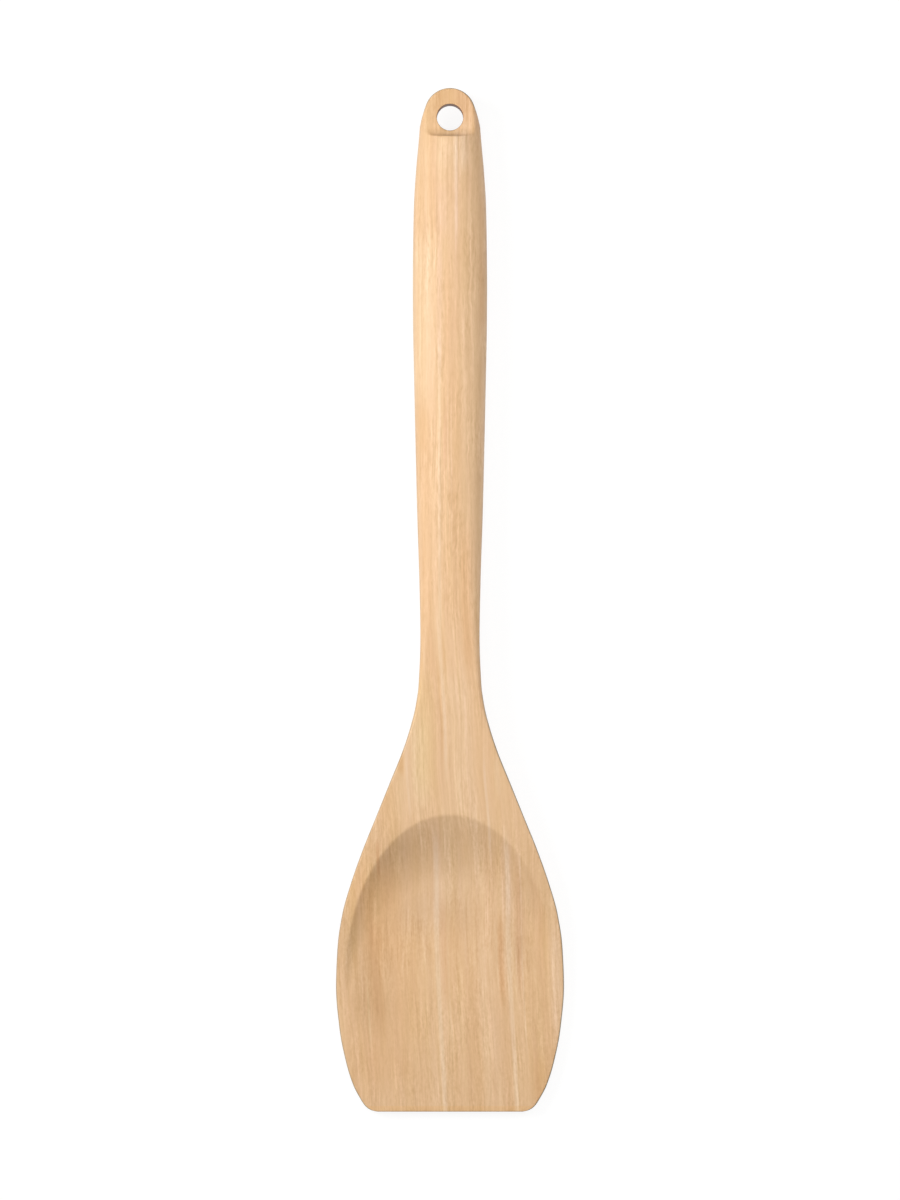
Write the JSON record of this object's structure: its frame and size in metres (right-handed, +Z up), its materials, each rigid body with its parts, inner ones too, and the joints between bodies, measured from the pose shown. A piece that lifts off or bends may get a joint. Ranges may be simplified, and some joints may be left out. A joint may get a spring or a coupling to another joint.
{
  "type": "wooden spoon",
  "caption": "Flat-ended wooden cooking spoon with a shallow scoop, an oval handle and a flat tab drilled for hanging.",
  "frame": {"origin": "bottom centre of the bounding box, on the surface that the spoon lies on with its scoop facing up", "axes": "+X across the spoon, +Y along it from the scoop's straight tip to the hanging end, +Z up out of the scoop"},
  "size_m": [0.0692, 0.31, 0.0165],
  "materials": {
    "beech": "sanded bare beech, lightly oiled"
  },
  "bodies": {
    "root": {"beech_spoon": "beech"}
  },
  "joints": []
}
